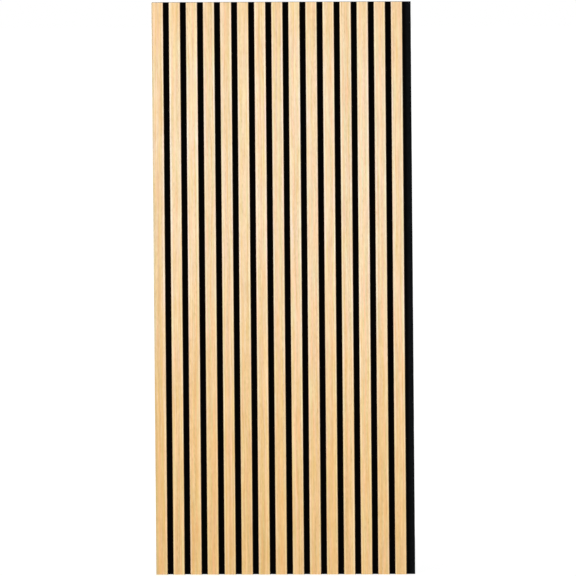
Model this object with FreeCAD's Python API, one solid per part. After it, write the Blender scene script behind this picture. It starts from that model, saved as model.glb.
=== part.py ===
import FreeCAD
import Part
import os

# Acoustic slat wall panel: veneered slats, glued and stapled to a felt backing board.
# X runs across the slats, left to right as seen from the room, and Z runs up them.
# Y = 0 is the back of the felt, which lies on the wall, and the room is on the -Y side.
# X = 0 and Z = 0 are the middle of that back face. Every size is in millimetres.

# The slats, and the bare felt between them and to the right of the last one
slat_count = 15
slat_width = 27.0
slat_gap = 13.0
right_margin = 18.0
panel_length = 1335.0

# The layers, from the wall to the room
felt_thickness = 9.0
core_thickness = 11.4
veneer_thickness = 0.6

# The bevel on each veneer's long edges, and the most of the veneer's thickness that it may take
edge_bevel = 0.4
bevel_share = 0.75

# The staples: wide crowns sunk into the back of the felt, with legs that end inside the cores
staple_rows = 6
staple_end_margin = 60.0
crown_width = 12.0
crown_sink = 0.3
wire_width = 1.2
wire_thickness = 0.6
point_length = 1.5
tip_cover = 4.1
staple_clearance = 0.05

# Places that follow from those sizes
slat_pitch = slat_width + slat_gap
panel_width = slat_count * slat_pitch - slat_gap + right_margin
left_edge = -panel_width / 2
bottom_end = -panel_length / 2
felt_front = -felt_thickness
core_front = felt_front - core_thickness
veneer_front = core_front - veneer_thickness
crown_back = -crown_sink
leg_tip = core_front + tip_cover
row_pitch = (panel_length - 2 * staple_end_margin) / (staple_rows - 1)
arris = min(edge_bevel, bevel_share * veneer_thickness)

out_folder = "parts"


def slat_centre(index):
    """X of the middle of a slat, counted from 0 at the left edge, where the first one is flush."""
    return left_edge + slat_width / 2 + index * slat_pitch


def row_height(row):
    """Z of the middle of a row of staples, counted from 0 at the bottom."""
    return bottom_end + staple_end_margin + row * row_pitch


def in_plan(x, y, z=0.0):
    """A point of a horizontal section, at height z."""
    return FreeCAD.Vector(x, y, z)


def prism(outline, base, height):
    """A closed horizontal outline, given as edges from in_plan, carried up from base by height."""
    wire = Part.Wire(outline)
    wire.translate(in_plan(0, 0, base))
    return Part.Face(wire).extrude(in_plan(0, 0, height))


def polygon(points):
    """The straight edges of a closed outline through points."""
    ends = points[1:] + points[:1]
    return [Part.LineSegment(start, end).toShape() for start, end in zip(points, ends)]


def staple(row):
    """One staple of a row, centred on X = 0: a crown and two legs with chisel points."""
    outer = crown_width / 2
    inner = outer - wire_thickness
    crown_front = crown_back - wire_thickness
    bevel_top = leg_tip + point_length
    outline = polygon([
        in_plan(-outer, crown_back),
        in_plan(-outer, leg_tip),
        in_plan(-inner, bevel_top),
        in_plan(-inner, crown_front),
        in_plan(inner, crown_front),
        in_plan(inner, bevel_top),
        in_plan(outer, leg_tip),
        in_plan(outer, crown_back),
    ])
    return prism(outline, row_height(row) - wire_width / 2, wire_width)


def staple_slot(row):
    """The room one staple takes in the felt and the core: its own section, open to the back, with clearance."""
    outer = crown_width / 2 + staple_clearance
    inner = crown_width / 2 - wire_thickness - staple_clearance
    crown_front = crown_back - wire_thickness - staple_clearance
    slot_end = leg_tip - staple_clearance
    behind = felt_thickness
    outline = polygon([
        in_plan(-outer, behind),
        in_plan(-outer, slot_end),
        in_plan(-inner, slot_end),
        in_plan(-inner, crown_front),
        in_plan(inner, crown_front),
        in_plan(inner, slot_end),
        in_plan(outer, slot_end),
        in_plan(outer, behind),
    ])
    slot_width = wire_width + 2 * staple_clearance
    return prism(outline, row_height(row) - slot_width / 2, slot_width)


def each_slat(shapes):
    """Copies of shapes that are centred on X = 0, one set behind each slat."""
    return [
        shape.translated(in_plan(slat_centre(index), 0))
        for index in range(slat_count)
        for shape in shapes
    ]


def felt_backing(slots):
    """The felt board, as long and wide as the panel, pierced by every staple."""
    board = Part.makeBox(
        panel_width, felt_thickness, panel_length, in_plan(left_edge, felt_front, bottom_end)
    )
    return board.cut(Part.makeCompound(each_slat(slots)))


def slat_core(slots):
    """One slat's board core, centred on X = 0, flat against the felt, with the staples' leg slots."""
    core = Part.makeBox(
        slat_width, core_thickness, panel_length, in_plan(-slat_width / 2, core_front, bottom_end)
    )
    return core.cut(Part.makeCompound(slots))


def slat_veneer():
    """One slat's face veneer, centred on X = 0, with its two long front edges eased by a small bevel."""
    side = slat_width / 2
    flat = side - arris
    shoulder = veneer_front + arris
    outline = polygon([
        in_plan(-side, core_front),
        in_plan(-side, shoulder),
        in_plan(-flat, veneer_front),
        in_plan(flat, veneer_front),
        in_plan(side, shoulder),
        in_plan(side, core_front),
    ])
    return prism(outline, bottom_end, panel_length)


def write(name, shape):
    """Checks one piece and saves it under its own name."""
    if not shape.isValid():
        raise ValueError(name + " is not a valid shape")
    shape.exportStep(os.path.join(out_folder, name + ".step"))


def main():
    os.makedirs(out_folder, exist_ok=True)
    slots = [staple_slot(row) for row in range(staple_rows)]
    staples = [staple(row) for row in range(staple_rows)]
    write("felt_backing", felt_backing(slots))
    write("staples", Part.makeCompound(each_slat(staples)))
    core = slat_core(slots)
    veneer = slat_veneer()
    for index in range(slat_count):
        place = in_plan(slat_centre(index), 0)
        write(f"slat_core_{index + 1:02d}", core.translated(place))
        write(f"slat_veneer_{index + 1:02d}", veneer.translated(place))
    print(f"panel {panel_width:g} x {-veneer_front:g} x {panel_length:g} mm")


main()
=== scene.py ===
import math
import bpy
import numpy as np
from mathutils import Matrix, Vector


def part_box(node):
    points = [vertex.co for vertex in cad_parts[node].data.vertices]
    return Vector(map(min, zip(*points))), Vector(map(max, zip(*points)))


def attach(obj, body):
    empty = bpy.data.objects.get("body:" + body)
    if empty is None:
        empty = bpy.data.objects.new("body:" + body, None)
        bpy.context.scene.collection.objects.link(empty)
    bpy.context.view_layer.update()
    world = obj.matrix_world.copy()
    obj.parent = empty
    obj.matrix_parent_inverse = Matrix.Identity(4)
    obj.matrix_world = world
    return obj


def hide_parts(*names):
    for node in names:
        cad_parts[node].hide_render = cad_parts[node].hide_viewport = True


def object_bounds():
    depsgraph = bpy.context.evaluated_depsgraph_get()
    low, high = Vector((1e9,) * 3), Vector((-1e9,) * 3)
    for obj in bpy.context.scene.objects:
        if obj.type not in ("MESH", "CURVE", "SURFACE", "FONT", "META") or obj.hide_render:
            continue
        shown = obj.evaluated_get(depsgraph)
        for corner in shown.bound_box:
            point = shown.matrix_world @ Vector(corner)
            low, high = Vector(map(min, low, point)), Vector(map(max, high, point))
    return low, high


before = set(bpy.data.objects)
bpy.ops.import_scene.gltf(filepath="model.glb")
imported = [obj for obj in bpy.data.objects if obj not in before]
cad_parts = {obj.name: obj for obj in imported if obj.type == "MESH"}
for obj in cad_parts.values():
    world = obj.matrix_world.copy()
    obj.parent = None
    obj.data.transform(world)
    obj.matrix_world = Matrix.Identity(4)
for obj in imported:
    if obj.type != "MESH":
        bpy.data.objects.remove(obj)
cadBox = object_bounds()

# places that the frame gives, in metres: X across the slats, Y from the room to the wall, Z up
veneerNames = sorted(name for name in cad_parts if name.startswith("slat_veneer_"))
coreNames = sorted(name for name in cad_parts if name.startswith("slat_core_"))
firstSlat = [np.array(corner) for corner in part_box(veneerNames[0])]
secondSlat = [np.array(corner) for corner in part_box(veneerNames[1])]
feltLow, feltHigh = [np.array(corner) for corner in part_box("felt_backing")]
slatLeft = firstSlat[0][0]
slatWidth = firstSlat[1][0] - slatLeft
slatPitch = secondSlat[0][0] - slatLeft
slatGap = slatPitch - slatWidth
slatCount = len(veneerNames)
lastEdge = slatLeft + slatPitch * (slatCount - 1) + slatWidth  # the right side of the last slat
panelBottom, panelTop = feltLow[2], feltHigh[2]
print(f"frame: {slatCount} slats of {slatWidth * 1000:.1f} mm, gaps of {slatGap * 1000:.1f} mm")


# small helpers for shader nodes
def feed(tree, socket, value):  # links the socket, or sets it to a plain value
    if isinstance(value, bpy.types.NodeSocket):
        tree.links.new(value, socket)
    else:
        socket.default_value = value


def addNode(tree, kind, inputs=None, **settings):
    made = tree.nodes.new(kind)
    for name, value in settings.items():
        setattr(made, name, value)
    for name, value in (inputs or {}).items():
        feed(tree, made.inputs[name], value)
    return made


def fill(tree, made, values):  # feeds a node's sockets in their order
    for socket, value in zip(made.inputs, values):
        feed(tree, socket, value)
    return made.outputs[0]


def calc(tree, operation, *values):  # one Math node on numbers or sockets
    return fill(tree, addNode(tree, "ShaderNodeMath", operation=operation), values)


def calcVector(tree, operation, *values):  # the same on vectors
    return fill(tree, addNode(tree, "ShaderNodeVectorMath", operation=operation), values)


def ramp(tree, value, low, high, toLow=0.0, toHigh=1.0):  # a smooth step from low to high
    made = addNode(tree, "ShaderNodeMapRange", interpolation_type="SMOOTHSTEP")
    return fill(tree, made, (value, low, high, toLow, toHigh))


def split(tree, place):  # the X, Y and Z of a place
    return addNode(tree, "ShaderNodeSeparateXYZ", {"Vector": place}).outputs


def join(tree, x, y, z):
    return fill(tree, addNode(tree, "ShaderNodeCombineXYZ"), (x, y, z))


def mixColour(tree, share, first, second, blend="MIX"):  # 6, 7 and 2 are the Mix node's colour sockets
    made = addNode(tree, "ShaderNodeMix", {0: share, 6: first, 7: second}, data_type="RGBA", blend_type=blend)
    return made.outputs[2]


def newGroup(name, inputs, outputs):  # the group, and its inputs and outputs as seen from inside
    group = bpy.data.node_groups.new(name, "ShaderNodeTree")
    for label, (kind, value) in inputs.items():
        socket = group.interface.new_socket(label, in_out="INPUT", socket_type=kind)
        if value is not None:
            socket.default_value = value
    for label, kind in outputs.items():
        group.interface.new_socket(label, in_out="OUTPUT", socket_type=kind)
    return group, group.nodes.new("NodeGroupInput").outputs, group.nodes.new("NodeGroupOutput").inputs


def useGroup(tree, group, **inputs):
    return addNode(tree, "ShaderNodeGroup", inputs, node_tree=group).outputs


def newMaterial(name):
    made = bpy.data.materials.new(name)
    made.use_nodes = True
    tree = made.node_tree
    place = addNode(tree, "ShaderNodeTexCoord").outputs["Object"]
    return made, tree, tree.nodes["Principled BSDF"], place


def applyFinish(tree, shader, look, colour, roughness, height):  # height makes the bumps
    bump = addNode(tree, "ShaderNodeBump", {
        "Strength": look["bump"], "Distance": look["bumpDepth"], "Height": height,
    })
    for name, value in (("Base Color", colour), ("Roughness", roughness), ("Normal", bump.outputs[0])):
        feed(tree, shader.inputs[name], value)


number, vector = "NodeSocketFloat", "NodeSocketVector"


# streaks: noise drawn out along Z, so it runs with the grain; Width and Length are one patch's size in metres
def streakGroup():
    group, given, put = newGroup(
        "drawn out streaks",
        {"Vector": (vector, None), "Width": (number, 0.005), "Length": (number, 0.1),
         "Seed": (number, 0.0), "Detail": (number, 0.0)},
        {"Value": number},
    )
    x, y, z = split(group, given["Vector"])
    stretched = join(
        group,
        calc(group, "DIVIDE", x, given["Width"]),
        calc(group, "DIVIDE", y, given["Width"]),
        calc(group, "DIVIDE", z, given["Length"]),
    )
    noise = addNode(group, "ShaderNodeTexNoise", {
        "Vector": stretched, "W": given["Seed"], "Scale": 1.0, "Detail": given["Detail"], "Roughness": 0.5,
    }, noise_dimensions="4D")
    feed(group, put["Value"], calc(group, "SUBTRACT", noise.outputs["Fac"], 0.5))  # about zero
    return group


streaks = streakGroup()


def streak(tree, place, width, length, seed, detail=0.0):
    made = useGroup(tree, streaks, Vector=place, Width=width, Length=length, Seed=seed, Detail=detail)
    return made["Value"]


strandShape = dict(
    angles=(8, 47, 82, 119, 158), tilt=0.2,  # degrees in the board's plane, and radians out of it
    curlScale=160.0, curl=0.004,  # how closely the strands bend, and how far in metres
    seedStep=3.1, thinFrom=0.58, thinFull=0.76,  # from angle to angle, and the noise that makes a strand
)


# tangled fibres: noise drawn out along several directions in the board's plane, cut off into thin strands
def tangleGroup(shape):
    group, given, put = newGroup(
        "tangled fibres",
        {"Vector": (vector, None), "Width": (number, 0.0003), "Length": (number, 0.005),
         "Seed": (number, 0.0)},
        {"Strands": number, "Height": number},
    )
    curl = addNode(group, "ShaderNodeTexNoise", {
        "Vector": given["Vector"], "Scale": shape["curlScale"], "Detail": 0.0,
    })
    bent = calcVector(group, "MULTIPLY_ADD", curl.outputs["Color"], [shape["curl"]] * 3, given["Vector"])
    size = join(group, given["Length"], given["Width"], given["Width"])
    strands, height = 0.0, 0.0
    for layer, angle in enumerate(shape["angles"]):
        drawn = addNode(group, "ShaderNodeMapping", {
            "Vector": bent, "Rotation": (0, math.radians(angle), shape["tilt"]), "Scale": size,
        }, vector_type="TEXTURE").outputs[0]
        seed = calc(group, "ADD", given["Seed"], shape["seedStep"] * layer)
        noise = addNode(group, "ShaderNodeTexNoise", {
            "Vector": drawn, "W": seed, "Scale": 1.0, "Detail": 0.0,
        }, noise_dimensions="4D")
        strand = ramp(group, noise.outputs["Fac"], shape["thinFrom"], shape["thinFull"])
        strands = calc(group, "MAXIMUM", strand, strands)
        height = calc(group, "ADD", strand, height)
    feed(group, put["Strands"], strands)
    feed(group, put["Height"], height)
    return group


tangle = tangleGroup(strandShape)


def fibres(tree, place, width, length, seed):
    return useGroup(tree, tangle, Vector=place, Width=width, Length=length, Seed=seed)


slatChance = dict(
    toneSeed=597.7, figureSeed=2243.2,
    moved=(3.0, 0.0, 9.0),  # how far apart, in metres, the slats' own stretches of grain may lie
    wander=(0.05, 0.22, 70.0), wanderReach=0.012,  # width, length, seed and reach of the grain's slow bends
)


# where a point lies on its slat: the slat's own random numbers, and the distance from its nearer long edge
def slatGroup(chance):
    group, given, put = newGroup(
        "place on a slat",
        {"Vector": (vector, None)},
        {"Tone": number, "Figure": number, "Edge": number, "Own": vector},
    )
    along = calc(group, "ADD", split(group, given["Vector"])["X"], slatGap / 2 - slatLeft)
    along = calc(group, "DIVIDE", along, slatPitch)
    index = calc(group, "FLOOR", along)
    across = calc(group, "MULTIPLY_ADD", calc(group, "SUBTRACT", along, index), slatPitch, -slatGap / 2)
    edge = calc(group, "MINIMUM", across, calc(group, "SUBTRACT", slatWidth, across))
    tone, figure = [
        addNode(
            group, "ShaderNodeTexWhiteNoise", {"W": calc(group, "ADD", index, seed)}, noise_dimensions="1D",
        ).outputs
        for seed in (chance["toneSeed"], chance["figureSeed"])
    ]
    moved = calcVector(group, "MULTIPLY", tone["Color"], chance["moved"])
    own = calcVector(group, "ADD", given["Vector"], moved)
    aside = calc(group, "MULTIPLY", streak(group, own, *chance["wander"]), chance["wanderReach"])
    own = calcVector(group, "ADD", own, join(group, aside, 0.0, 0.0))
    feed(group, put["Tone"], tone["Value"])
    feed(group, put["Figure"], figure["Value"])
    feed(group, put["Edge"], edge)
    feed(group, put["Own"], own)
    return group


slatPlace = slatGroup(slatChance)
print("shader groups: streaks, tangled fibres, place on a slat")


veneerLook = dict(
    deep=(0.774, 0.528, 0.255, 1), pale=(0.902, 0.710, 0.484, 1),
    # width and length in metres, and share, of each layer of grain: long bands, short flecks and fine lines
    bands=((0.0042, 1.8, 0.95), (0.0042, 0.2, 0.72)), bandSeed=0.0, figureLeast=0.4, figureMost=1.5,
    flecks=((0.0046, 0.045, 0.75), (0.003, 0.013, 0.55), (0.0009, 0.5, 0.8)), fleckSeed=4.2,
    seedStep=2.1,  # from layer to layer
    # drifts of colour, in layers of the same kind
    drifts=((0.0052, 0.09, 1.6), (0.0052, 1.2, 1.3)),
    warm=(1.05, 1.01, 0.95, 1), cool=(0.95, 0.99, 1.05, 1), warmSeed=31.0,
    rosy=(1.022, 0.954, 1.025, 1), olive=(0.978, 1.046, 0.975, 1), rosySeed=47.0,
    darkSlat=(0.982, 0.968, 0.944, 1), paleSlat=(1.03, 1.052, 1.088, 1),
    # width, length and seed of the open pores, and of the bands of early growth that they keep to
    pore=(0.40, 0.24, 0.11, 1), pores=(0.00034, 0.010, 11.0), rings=(0.0032, 0.6, 19.0), ringShare=0.5,
    poreFrom=0.13, poreFull=0.25, poreShare=0.34,
    # painted shade: a darker, more golden tint towards the foot and at the top, where the light falls off
    shadeTint=(0.988, 0.866, 0.63, 1), shadeFull=0.1375, shadeFrom=0.9075,  # heights above the foot
    shadeTop=0.40, shadeHead=0.22,  # the share at the very top, and how far down it reaches
    # painted highlight: a paler band along the slats' long edges, with a tint of its own at the panel's left
    # edge
    edgeHighlight=(1.075, 1.18, 1.38, 1), highlightNear=0.0030, highlightFar=0.0050,
    leftEdgeTint=(0.89, 0.95, 1.0, 1),  # the panel's own left edge, which no black side stains
    arris=(0.100, 0.042, 0.010, 1), arrisNear=0.0007125, arrisFar=0.0011875,
    roughness=0.52, poreRoughness=0.2, specular=0.3, bump=0.35, bumpDepth=0.0002,
)


def layered(tree, place, layers, seed, seedStep, total=0.5):  # layers of streaks, each with its share
    for step, (width, length, share) in enumerate(layers):
        layer = streak(tree, place, width, length, seed + seedStep * step)
        total = calc(tree, "MULTIPLY_ADD", layer, share, total)
    return total


def oakVeneer(look):
    made, tree, shader, place = newMaterial("pale oak veneer")
    slat = useGroup(tree, slatPlace, Vector=place)
    own, edge, step = slat["Own"], slat["Edge"], look["seedStep"]
    # some slats have strong bands, and some hardly any
    bands = layered(tree, own, look["bands"], look["bandSeed"], step, 0.0)
    figureRange = look["figureMost"] - look["figureLeast"]
    figure = calc(tree, "MULTIPLY_ADD", slat["Figure"], figureRange, look["figureLeast"])
    flecks = layered(tree, own, look["flecks"], look["fleckSeed"], step)
    grain = calc(tree, "MULTIPLY_ADD", bands, figure, flecks)
    colour = mixColour(tree, grain, look["deep"], look["pale"])
    # faint drifts of colour, from warm to cool and from rosy to olive, and every slat's own tone
    for share, first, second in (
        (layered(tree, own, look["drifts"], look["warmSeed"], step), "warm", "cool"),
        (layered(tree, own, look["drifts"], look["rosySeed"], step), "rosy", "olive"),
        (slat["Tone"], "darkSlat", "paleSlat"),
    ):
        colour = mixColour(tree, 1.0, colour, mixColour(tree, share, look[first], look[second]), "MULTIPLY")
    # open pores, short dark dashes along the grain
    early = streak(tree, own, *look["rings"])
    pore = calc(tree, "MULTIPLY_ADD", early, look["ringShare"], streak(tree, own, *look["pores"]))
    pore = ramp(tree, pore, look["poreFrom"], look["poreFull"])
    colour = mixColour(tree, calc(tree, "MULTIPLY", pore, look["poreShare"]), colour, look["pore"])
    # painted shade: the sheet is tinted darker and more golden towards the foot, and a little at the very
    # top, where the light falls off
    x, _, height = split(tree, place)
    footShade = ramp(tree, height, panelBottom + look["shadeFull"], panelBottom + look["shadeFrom"], 1.0, 0.0)
    topShade = ramp(tree, height, panelTop - look["shadeHead"], panelTop, 0.0, look["shadeTop"])
    colour = mixColour(tree, calc(tree, "ADD", footShade, topShade), colour, look["shadeTint"], "MULTIPLY")
    # painted highlight: the long edges are paler, up to an arris that the black of the sides has stained
    inside = calc(tree, "GREATER_THAN", x, slatLeft + slatWidth / 2)  # all but the panel's own left edge
    edgeHighlight = ramp(tree, edge, look["highlightNear"], look["highlightFar"], 1.0, 0.0)
    highlightTint = mixColour(tree, inside, look["leftEdgeTint"], look["edgeHighlight"])
    colour = mixColour(tree, edgeHighlight, colour, highlightTint, "MULTIPLY")
    stained = ramp(tree, edge, look["arrisNear"], look["arrisFar"], 1.0, 0.0)
    colour = mixColour(tree, calc(tree, "MULTIPLY", stained, inside), colour, look["arris"])
    roughness = calc(tree, "MULTIPLY_ADD", pore, look["poreRoughness"], look["roughness"])
    applyFinish(tree, shader, look, colour, roughness, calc(tree, "SUBTRACT", grain, pore))
    shader.inputs["Specular IOR Level"].default_value = look["specular"]
    return made


coreLook = dict(
    dark=(0.0028, 0.0026, 0.0026, 1), fibre=(0.011, 0.010, 0.009, 1),
    # width and length in metres, and seed, of the fibres, the patches with more of them and the saw's marks
    fibres=(0.0002, 0.0016, 4.0), patches=(0.02, 0.03, 8.0), sawMarks=(0.0007, 0.02, 14.0), sawDetail=1.0,
    fibreShare=0.4, patchShare=1.2,
    sawn=(0.016, 0.015, 0.0145, 1), sawnShare=0.6, markShare=1.4, markHeight=2.0,
    endSkin=0.00005,  # how near to an end a point lies on it
    roughness=0.75, fibreRoughness=0.15, specular=0.12, bump=0.3, bumpDepth=0.0002,
)


def blackBoard(look):
    made, tree, shader, place = newMaterial("black dyed fibreboard")
    strands = fibres(tree, place, *look["fibres"])
    patch = streak(tree, place, *look["patches"])
    patch = calc(tree, "MULTIPLY_ADD", patch, look["patchShare"], look["fibreShare"])
    colour = mixColour(tree, calc(tree, "MULTIPLY", strands["Strands"], patch), look["dark"], look["fibre"])
    # saw marks on the two ends, which lie equally far above and below the origin
    x, y, z = split(tree, place)
    end = calc(tree, "GREATER_THAN", calc(tree, "ABSOLUTE", z), panelTop - look["endSkin"])
    mark = streak(tree, join(tree, x, 0.0, y), *look["sawMarks"], look["sawDetail"])
    sawn = calc(tree, "MULTIPLY", end, calc(tree, "MULTIPLY_ADD", mark, look["markShare"], look["sawnShare"]))
    colour = mixColour(tree, sawn, colour, look["sawn"])
    roughness = calc(tree, "MULTIPLY_ADD", strands["Strands"], look["fibreRoughness"], look["roughness"])
    height = calc(tree, "MULTIPLY_ADD", sawn, look["markHeight"], strands["Height"])
    applyFinish(tree, shader, look, colour, roughness, height)
    shader.inputs["Specular IOR Level"].default_value = look["specular"]
    return made


feltLook = dict(
    dark=(0.0060, 0.0064, 0.0066, 1), pale=(0.028, 0.0285, 0.0285, 1),
    # width and length in metres, and seed, of the fine fibres, the longer ones and the clouding
    fine=(0.00022, 0.0045, 1.0), long=(0.00045, 0.016, 23.0), clouds=(0.028, 0.04, 5.0), cloudDetail=2.0,
    fineShare=0.6, cloudShare=1.6,
    lint=(0.10, 0.102, 0.10, 1), lintFrom=0.75, lintFull=1.6, lintShare=0.35,  # a few longer, paler fibres
    pressed=(0.27, 0.32, 0.37, 1), skinNear=0.0003, skinFar=0.0012,  # tint and depth of the smooth front
    # painted shade: a dark tint on the front between and under the slats, where little light reaches, and its
    # fade past the last slat
    gapShade=(0.04, 0.025, 0.01, 1), gapShadeReach=0.013,
    nap=(0.5, 0.5, 0.52, 1), napWeight=0.035, napRoughness=0.55,  # soft light along the fibres' ends
    roughness=0.95, specular=0.05, bump=0.5, bumpDepth=0.0003,
)


def blackFelt(look):
    made, tree, shader, place = newMaterial("black needled felt")
    fine, long = [fibres(tree, place, *look[kind]) for kind in ("fine", "long")]
    cloud = streak(tree, place, *look["clouds"], look["cloudDetail"])
    cloud = calc(tree, "MULTIPLY_ADD", cloud, look["cloudShare"], look["fineShare"])
    colour = mixColour(tree, calc(tree, "MULTIPLY", fine["Strands"], cloud), look["dark"], look["pale"])
    stray = ramp(tree, long["Height"], look["lintFrom"], look["lintFull"], 0.0, look["lintShare"])
    colour = mixColour(tree, stray, colour, look["lint"])
    x, y, _ = split(tree, place)
    front = ramp(tree, y, feltLow[1] + look["skinNear"], feltLow[1] + look["skinFar"], 1.0, 0.0)
    # painted shade: between and under the slats the front takes the dark shade tint, which fades out past the
    # last slat
    gapShadeMask = ramp(tree, x, lastEdge, lastEdge + look["gapShadeReach"], 1.0, 0.0)
    frontTintAndShade = mixColour(tree, gapShadeMask, look["pressed"], look["gapShade"])
    colour = mixColour(tree, front, colour, frontTintAndShade, "MULTIPLY")
    height = calc(tree, "ADD", fine["Height"], long["Height"])
    applyFinish(tree, shader, look, colour, look["roughness"], height)
    shader.inputs["Specular IOR Level"].default_value = look["specular"]
    shader.inputs["Sheen Weight"].default_value = look["napWeight"]
    shader.inputs["Sheen Roughness"].default_value = look["napRoughness"]
    shader.inputs["Sheen Tint"].default_value = look["nap"]
    return made


wireLook = dict(
    dark=(0.17, 0.175, 0.18, 1), bright=(0.46, 0.47, 0.48, 1),
    # size across the slats, size up them, and seed: die lines along the crown, and patches in the zinc
    dieLines=(0.006, 0.0002, 6.0), blotches=(0.002, 0.002, 9.0),
    brightShare=0.5, lineShare=0.8, roughness=0.4, blotchRoughness=0.5, bump=0.4, bumpDepth=0.00005,
)


def galvanisedWire(look):
    made, tree, shader, place = newMaterial("galvanised staple wire")
    drawn, dull = [streak(tree, place, *look[kind]) for kind in ("dieLines", "blotches")]
    share = calc(tree, "ADD", calc(tree, "MULTIPLY_ADD", drawn, look["lineShare"], look["brightShare"]), dull)
    colour = mixColour(tree, share, look["dark"], look["bright"])
    roughness = calc(tree, "MULTIPLY_ADD", dull, look["blotchRoughness"], look["roughness"])
    applyFinish(tree, shader, look, colour, roughness, drawn)
    shader.inputs["Metallic"].default_value = 1.0
    return made


# puts a material on a CAD node in place of the one it came with
def dress(names, material):
    for name in names:
        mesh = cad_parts[name].data
        mesh.materials.clear()
        mesh.materials.append(material)


dress(veneerNames, oakVeneer(veneerLook))
dress(coreNames, blackBoard(coreLook))
print("materials on", len(veneerNames) + len(coreNames), "nodes")


feltBoard = dict(
    arris=0.0006, arrisSteps=3, cutSteps=4,  # rounding of every edge, and points on the rest of a cut edge
    swell=0.00022, swellChange=0.25, underSlat=0.00003,  # the front, in the gaps and under the slats
    dip=0.00075, dipNear=0.0003, dipFar=0.0015, pucker=0.00022, puckerReach=0.006,  # the back, at a staple
    waveLengths=(0.11, 0.071, 0.043, 0.027, 0.019),
    unevenness=0.00008, unevenSeed=3,
    cutWaviness=0.00015, cutSquash=4, sideSeed=5, endSeed=7,  # these waves are shorter through the board
    # columns beside a crown's end and, as shares, across a gap; rows beside a wire, and away from it
    besideCrown=(-0.0006, 0.0, 0.0008, 0.0018, 0.0045), acrossGap=(0.0, 0.12, 0.5, 0.88, 1.0),
    besideWire=(0.0, 0.0004, 0.0008, 0.0013, 0.0022, 0.0045, 0.008), rowStep=0.024,
)


# smooth unevenness: a sum of sine waves, each with its own length, direction and start
def waves(a, b, amplitude, seed, lengths):
    chance = np.random.default_rng(seed)
    total = np.zeros(np.broadcast(a, b).shape)
    for length in lengths:
        turn, start = chance.uniform(0, 2 * math.pi, 2)
        total += np.sin((a * math.cos(turn) + b * math.sin(turn)) * 2 * math.pi / length + start)
    return amplitude * total / 2  # seldom over twice the amplitude


def smooth(value, low, high):  # the same smooth step on arrays
    t = np.clip((value - low) / (high - low), 0, 1)
    return t * t * (3 - 2 * t)


def nearest(values, places):  # signed distance from each value to the nearest place
    away = values[..., None] - places
    return np.take_along_axis(away, np.abs(away).argmin(-1)[..., None], -1)[..., 0]


def bothSides(values):  # the distances to both sides, and the middle
    return np.unique(np.concatenate([-values, values, [0.0]]))


def sheet(index):  # quads of an open grid of vertex numbers
    return np.stack([index[:-1, :-1], index[1:, :-1], index[1:, 1:], index[:-1, 1:]], -1).reshape(-1, 4)


def ring(index):  # the same, with the last column joined to the first
    return sheet(np.concatenate([index, index[:, :1]], 1))


def staplePoints():
    return np.array([vertex.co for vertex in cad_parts["staples"].data.vertices])


# the middles of the staples' columns and rows, half a crown's length and half the wire's width
def staplePlaces():
    points = staplePoints()
    heights = np.unique(points[:, 2].round(5))  # rounded, so that equal ones merge
    columns = slatLeft + slatWidth / 2 + slatPitch * np.arange(slatCount)
    firstCrown = points[np.abs(points[:, 0] - columns[0]) < slatPitch / 2, 0]
    return columns, (heights[0::2] + heights[1::2]) / 2, np.ptp(firstCrown) / 2, (heights[1] - heights[0]) / 2


# how far the back sinks: a smooth step of the distance to the nearest crown, and a wide pucker round it
def stapleDip(x, z, shape):
    columns, rows, crownHalf, wireHalf = staplePlaces()
    beyondEnd = np.maximum(np.abs(nearest(x, columns)) - crownHalf, 0)
    beyondWire = np.maximum(np.abs(nearest(z, rows)) - wireHalf, 0)
    away = np.hypot(beyondEnd, beyondWire)
    return (shape["dip"] * (1 - smooth(away, shape["dipNear"], shape["dipFar"]))
            + shape["pucker"] * np.exp(-(away / shape["puckerReach"]) ** 2))


# how far the front stands out: a sine arch across each gap, and half an arch on the bare strip at the right
def gapSwell(x, shape):
    across = (np.mod(x - slatLeft, slatPitch) - slatWidth) / slatGap
    across = np.where(x > lastEdge, np.minimum((x - lastEdge) / slatGap, 0.5), across)
    return shape["swell"] * np.sin(math.pi * np.clip(across, 0, 1)) - shape["underSlat"]


# the columns and rows of the board's grid, which lie close together only where its faces bend
def feltGrid(shape):
    columns, rows, crownHalf, wireHalf = staplePlaces()
    low, high = feltLow + shape["arris"], feltHigh - shape["arris"]
    besideSlat = np.concatenate([
        bothSides(crownHalf + np.array(shape["besideCrown"])),
        slatWidth / 2 + slatGap * np.array(shape["acrossGap"]),
    ])
    x = np.unique((columns[:, None] + besideSlat).ravel().round(7))
    x = x[(x > low[0] + shape["arris"]) & (x < high[0] - shape["arris"])]
    coarse = np.linspace(low[2], high[2], round((panelTop - panelBottom) / shape["rowStep"]))
    fine = (rows[:, None] + bothSides(wireHalf + np.array(shape["besideWire"]))).ravel()
    z = np.union1d(coarse[np.abs(nearest(coarse, rows)) > 2 * shape["puckerReach"]], fine)
    return np.concatenate([[low[0]], x, [high[0]]]), z


# across a cut edge, a quarter circle, a straight and a quarter circle: how far each point stands out from the
# end column, and its depth from the back
def cutEdge(shape, thickness):
    arris = shape["arris"]
    bend = np.linspace(0, math.pi / 2, shape["arrisSteps"] + 1)[1:]
    straight = np.linspace(arris, thickness - arris, shape["cutSteps"] + 2)[1:-1]
    out = np.concatenate([arris * np.sin(bend), np.full(len(straight), arris), arris * np.sin(bend[::-1])])
    depth = arris * (1 - np.cos(bend))
    return out, np.concatenate([depth, straight, thickness - depth[::-1]])


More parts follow.
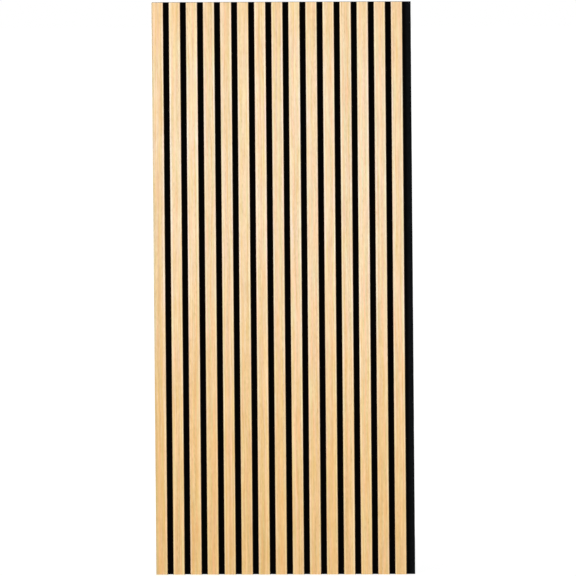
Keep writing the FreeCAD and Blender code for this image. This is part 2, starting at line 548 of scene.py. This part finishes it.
# The board is its section, a rectangle with rounded corners, carried up Z. At both ends the section shrinks
# towards its middle along a quarter circle, and a sheet of quads from its back to its front closes it.
def feltSurface(shape):
    arris, middle, half = shape["arris"], (feltLow + feltHigh) / 2, (feltHigh - feltLow) / 2
    thickness = feltHigh[1] - feltLow[1]
    x, z = feltGrid(shape)
    cutOut, cutDepth = cutEdge(shape, thickness)
    n, k = len(x), len(cutOut)
    loopX = np.concatenate([x, x[-1] + cutOut, x[::-1], x[0] - cutOut[::-1]])
    loopY = feltHigh[1] - np.concatenate([np.zeros(n), cutDepth, np.full(n, thickness), cutDepth[::-1]])
    back, front = slice(0, n), slice(n + k, 2 * n + k)
    right, left = slice(n, n + k), slice(2 * n + k, 2 * n + 2 * k)

    ends = np.linspace(0, math.pi / 2, shape["arrisSteps"] + 1)[:-1]
    rise, draw = arris * (1 - np.cos(ends)), arris * (1 - np.sin(ends))
    rowZ = np.concatenate([panelBottom + rise, z, (panelTop - rise)[::-1]])
    inset = np.concatenate([draw, np.zeros(len(z)), draw[::-1]])[:, None]
    gridX = middle[0] + (loopX - middle[0]) * (1 - inset / half[0])
    gridY = middle[1] + (loopY - middle[1]) * (1 - inset / half[1])
    gridZ = np.repeat(rowZ[:, None], len(loopX), 1)

    def cutWaves(a, b, seed):
        return np.abs(waves(a, b, shape["cutWaviness"], seed, shape["waveLengths"]))

    uneven = waves(gridX, gridZ, shape["unevenness"], shape["unevenSeed"], shape["waveLengths"])
    change = 1 + shape["swellChange"] * uneven[:, front] / shape["unevenness"]
    gridY[:, back] -= stapleDip(gridX[:, back], gridZ[:, back], shape) + np.abs(uneven[:, back])
    gridY[:, front] -= gapSwell(gridX[:, front], shape) * change
    wavy = cutWaves(gridY * shape["cutSquash"], gridZ, shape["sideSeed"])
    gridX[:, right] -= wavy[:, right]
    gridX[:, left] += wavy[:, left]

    points = [np.stack([gridX, gridY, gridZ], -1).reshape(-1, 3)]
    index = np.arange(gridX.size).reshape(gridX.shape)
    quads = [ring(index)]
    share = (cutDepth / thickness)[None, :, None]
    for row, outward in ((0, -1), (-1, 1)):
        backRow, frontRow = index[row, back], index[row, front][::-1]
        inner = points[0][backRow][1:-1, None] * (1 - share) + points[0][frontRow][1:-1, None] * share
        wavy = cutWaves(inner[..., 0], inner[..., 1] * shape["cutSquash"], shape["endSeed"])
        inner[..., 2] -= outward * wavy
        cap = np.empty((n, k + 2), int)
        cap[:, 0], cap[:, -1] = backRow, frontRow
        cap[0, 1:-1], cap[-1, 1:-1] = index[row, left][::-1], index[row, right]
        cap[1:-1, 1:-1] = sum(len(p) for p in points) + np.arange(inner[..., 0].size).reshape(n - 2, k)
        points.append(inner.reshape(-1, 3))
        quads.append(sheet(cap)[:, ::-outward])
    return np.concatenate(points), np.concatenate(quads)


def newPiece(name, points, quads, material, slot):
    mesh = bpy.data.meshes.new(name)
    mesh.from_pydata(points, [], quads.tolist())
    mesh.polygons.foreach_set("use_smooth", np.ones(len(quads), bool))
    mesh.materials.append(material)
    mesh.update()
    piece = bpy.data.objects.new(name, mesh)
    bpy.context.scene.collection.objects.link(piece)
    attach(piece, "root")
    return piece


feltPiece = newPiece("felt_board", *feltSurface(feltBoard), blackFelt(feltLook), "felt")
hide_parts("felt_backing")
print("felt board:", len(feltPiece.data.polygons), "quads")


stapleShape = dict(
    bend=0.0009, bendSteps=4,  # radius of the wire's middle line at the crown's ends
    wireArris=0.00014,
)


# A staple is the wire's section, a flat rectangle with its corners taken off, carried along a path: up one
# leg, round a quarter circle, along the crown, round again and down the other leg. At each tip the section
# slants, so the leg ends in a chisel point. The same staple stands at every column and row.
def stapleSurface(shape):
    columns, rows, crownHalf, wireHalf = staplePlaces()
    tip, pointEnd, crownFront, crownBack = np.unique(staplePoints()[:, 1].round(6))
    thickness, middle, bend = crownBack - crownFront, (crownFront + crownBack) / 2, shape["bend"]
    turn = np.linspace(0, math.pi / 2, shape["bendSteps"] + 1)
    side = crownHalf - thickness / 2
    halfX = np.concatenate([[side], side - bend + bend * np.cos(turn)])
    halfY = np.concatenate([[tip], middle - bend + bend * np.sin(turn)])
    outX, outY = np.concatenate([[1], np.cos(turn)]), np.concatenate([[0], np.sin(turn)])
    pathX, pathY = np.concatenate([halfX, -halfX[::-1]]), np.concatenate([halfY, halfY[::-1]])
    outX, outY = np.concatenate([outX, -outX[::-1]]), np.concatenate([outY, outY[::-1]])

    a, b, cut = thickness / 2, wireHalf, shape["wireArris"]
    outward = np.array([a, a, a - cut, cut - a, -a, -a, cut - a, a - cut])
    upward = np.array([cut - b, b - cut, b, b, b - cut, cut - b, -b, -b])
    wireX = pathX[:, None] + outX[:, None] * outward
    wireY = pathY[:, None] + outY[:, None] * outward
    wireY[[0, -1]] += (pointEnd - tip) * (0.5 - outward / thickness)
    wire = np.stack([wireX, wireY, np.broadcast_to(upward, wireX.shape)], -1).reshape(-1, 3)
    index = np.arange(wireX.size).reshape(wireX.shape)
    tips = np.array([[0, 1, 2, 7], [7, 2, 3, 6], [6, 3, 4, 5]])  # three quads close the section
    quads = np.concatenate([ring(index), index[0][tips], index[-1][tips][:, ::-1]])

    spotX, spotZ = [spot.ravel() for spot in np.meshgrid(columns, rows)]
    spots = np.stack([spotX, 0 * spotX, spotZ], -1)
    points = (spots[:, None] + wire).reshape(-1, 3)
    return points, (np.arange(len(spots))[:, None, None] * len(wire) + quads).reshape(-1, 4)


staplePiece = newPiece("staple_wires", *stapleSurface(stapleShape), galvanisedWire(wireLook), "staple_wire")
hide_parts("staples")
print("staples:", len(staplePiece.data.polygons), "quads")


studio = dict(
    skyLevel=0.42, floorSize=60.0, floorDrop=0.0004, floorTone=(0.62, 0.62, 0.62, 1),
    # what the camera sees of the floor: a glow that grows to full white with distance, and a little shadow
    floorGlow=0.88, glowFrom=1.0, clearFrom=3.5, shadowTone=(0.2, 0.2, 0.2, 1),
    # place and width in metres, power in watts
    lamps=(
        ("key", (-1.0, -3.0, 0.6), 2.2, 54.0),
        ("fill", (1.9, -2.8, 0.5), 2.4, 29.5),
        ("rear", (0.6, 2.8, 1.4), 2.0, 34.0),
    ),
)


# the sky and the floor are white to the camera, mirrors and glass, and light the panel plainly otherwise
def seen(tree):
    path = addNode(tree, "ShaderNodeLightPath").outputs
    either = calc(tree, "MAXIMUM", path["Is Camera Ray"], path["Is Glossy Ray"])
    return calc(tree, "MAXIMUM", either, path["Is Transmission Ray"])


def whiteSky(plan):
    world = bpy.data.worlds.new("white studio")
    bpy.context.scene.world = world
    world.use_nodes = True
    tree = world.node_tree
    sky = tree.nodes["Background"]
    sky.inputs["Color"].default_value = (1, 1, 1, 1)
    strength = calc(tree, "MULTIPLY_ADD", seen(tree), 1 - plan["skyLevel"], plan["skyLevel"])
    feed(tree, sky.inputs["Strength"], strength)


def paleFloor(plan):
    made, tree, shader, place = newMaterial("pale floor")
    tree.nodes.remove(shader)
    matte = addNode(tree, "ShaderNodeBsdfDiffuse", {"Color": plan["floorTone"]})
    away = addNode(tree, "ShaderNodeVectorMath", {0: place}, operation="LENGTH").outputs["Value"]
    glow = addNode(tree, "ShaderNodeEmission", {
        "Strength": ramp(tree, away, plan["glowFrom"], plan["clearFrom"], plan["floorGlow"], 1.0),
    })
    shadow = addNode(tree, "ShaderNodeBsdfDiffuse", {"Color": plan["shadowTone"]})
    shown = addNode(tree, "ShaderNodeAddShader", {0: glow.outputs[0], 1: shadow.outputs[0]})
    blend = addNode(tree, "ShaderNodeMixShader", {0: seen(tree), 1: matte.outputs[0], 2: shown.outputs[0]})
    tree.links.new(blend.outputs[0], tree.nodes["Material Output"].inputs["Surface"])
    side = plan["floorSize"] / 2
    corners = np.array([[-side, -side, 0], [side, -side, 0], [side, side, 0], [-side, side, 0]])
    mesh = bpy.data.meshes.new("floor")
    mesh.from_pydata(corners + [0, 0, panelBottom - plan["floorDrop"]], [], [[0, 1, 2, 3]])
    mesh.materials.append(made)
    floor = bpy.data.objects.new("floor", mesh)
    bpy.context.scene.collection.objects.link(floor)


def softLamps(plan):
    for name, spot, width, power in plan["lamps"]:
        lamp = bpy.data.lights.new(name, "AREA")
        lamp.shape, lamp.size, lamp.energy = "DISK", width, power
        holder = bpy.data.objects.new(name, lamp)
        holder.location = spot
        holder.rotation_euler = (-Vector(spot)).to_track_quat("-Z", "Y").to_euler()
        bpy.context.scene.collection.objects.link(holder)


whiteSky(studio)
paleFloor(studio)
softLamps(studio)
bpy.context.scene.view_settings.view_transform = "Standard"
print("studio: floor, sky and", len(studio["lamps"]), "lamps")


cameraView = dict(
    turn=6.2, rise=3.0, lens=1600.0, sensor=36.0,  # degrees to the right and above, millimetres
    lean=0.0084,  # how far the slats lean in the picture, across per up
    imageWidth=576, pixelsPerMetre=429.35,
    middlePixel=(282.92, 288.5),  # where the middle of the panel's front comes in the picture
)


def photoCamera(view):
    turn, rise = math.radians(view["turn"]), math.radians(view["rise"])
    away = Vector((math.sin(turn) * math.cos(rise), -math.cos(turn) * math.cos(rise), math.sin(rise)))
    turned = (-away).to_track_quat("-Z", "Y").to_matrix() @ Matrix.Rotation(-math.atan(view["lean"]), 3, "Z")
    distance = view["imageWidth"] * view["lens"] / view["sensor"] / view["pixelsPerMetre"]
    centre = view["imageWidth"] / 2
    across = (centre - view["middlePixel"][0]) / view["pixelsPerMetre"]
    up = (view["middlePixel"][1] - centre) / view["pixelsPerMetre"]
    front = (cadBox[0] + cadBox[1]) / 2
    front.y = cadBox[0].y
    spot = front + distance * away + turned @ Vector((across, up, 0))
    data = bpy.data.cameras.new("photo view")
    data.lens, data.sensor_width, data.clip_end = view["lens"], view["sensor"], 2 * distance
    camera = bpy.data.objects.new("photo view", data)
    camera.matrix_world = Matrix.Translation(spot) @ turned.to_4x4()
    bpy.context.scene.collection.objects.link(camera)
    bpy.context.scene.camera = camera


photoCamera(cameraView)
